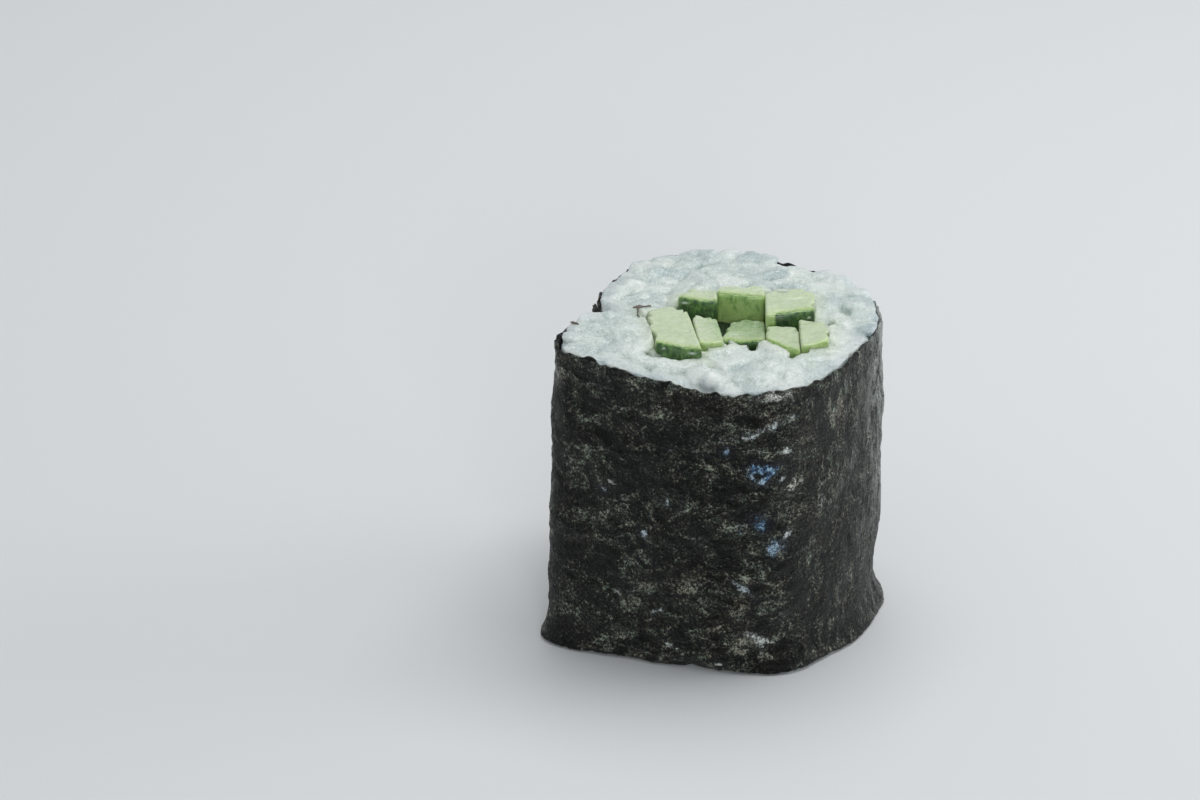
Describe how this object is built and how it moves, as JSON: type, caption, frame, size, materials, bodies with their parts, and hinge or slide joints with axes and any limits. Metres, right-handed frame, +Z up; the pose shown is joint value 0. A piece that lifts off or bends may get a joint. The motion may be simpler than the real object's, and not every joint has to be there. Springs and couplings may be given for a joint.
{
  "type": "cucumber sushi roll",
  "caption": "Piece of cucumber maki standing on its cut face: nori sheet rolled round sushi rice, with upright cucumber batons through the middle.",
  "frame": {"origin": "on the ground under the middle of the piece's bounding box", "axes": "+Z up along the roll's axis, from the lower cut face to the upper one; -Y towards the front, the side the cucumber's skin faces; +X to the right as seen from the front"},
  "size_m": [0.0322, 0.0318, 0.0303],
  "materials": {
    "nori": "pressed dried seaweed, very dark green-black, damp with dull gloss",
    "rice": "cooked sushi rice, white and slightly translucent, sticky sheen",
    "cucumber": "fresh cut cucumber, pale green flesh and dark green skin, wet"
  },
  "bodies": {
    "root": {"nori": "nori", "rice": "rice", "cucumber_1": "cucumber", "cucumber_2": "cucumber", "cucumber_3": "cucumber", "cucumber_4": "cucumber", "cucumber_5": "cucumber", "cucumber_6": "cucumber", "cucumber_7": "cucumber", "cucumber_8": "cucumber"}
  },
  "joints": []
}
